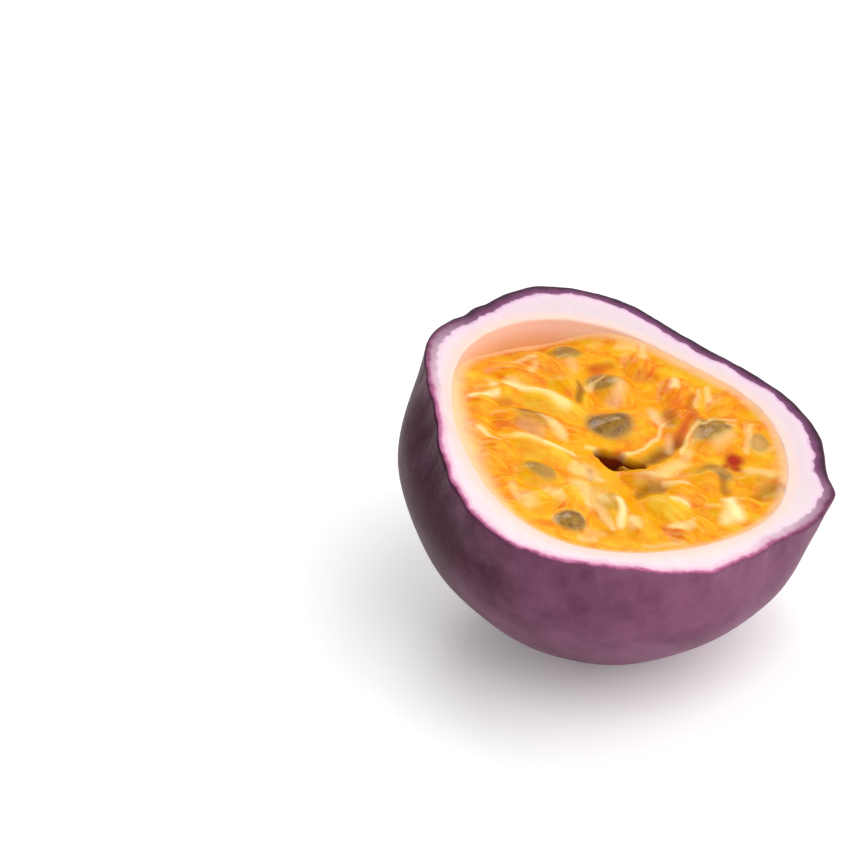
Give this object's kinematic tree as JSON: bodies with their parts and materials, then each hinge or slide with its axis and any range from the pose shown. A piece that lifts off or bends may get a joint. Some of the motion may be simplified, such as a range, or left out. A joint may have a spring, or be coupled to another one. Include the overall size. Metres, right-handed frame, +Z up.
{
  "type": "passion fruit half",
  "caption": "Halved purple passion fruit, cut side up: a thick rind bowl with a wavy cut edge, filled with orange pulp in juice sacs.",
  "frame": {"origin": "Middle of the small flat spot under the fruit, on the surface that the half stands on.", "axes": "+Z is up. The cut face leans 8 degrees forward to -Y and 14 degrees to +X, as the half lies in the picture. +Y is away from the viewer and +X to the right."},
  "size_m": [0.0548, 0.0539, 0.0353],
  "materials": {
    "rind": "Satin purple fruit skin with fine pale specks, white spongy pith with a pink tinge where it is cut.",
    "pulp": "Wet, cloudy, yellow to orange juice sacs with dark seeds inside."
  },
  "bodies": {
    "root": {"shell": "rind", "pulp": "pulp"}
  },
  "joints": []
}
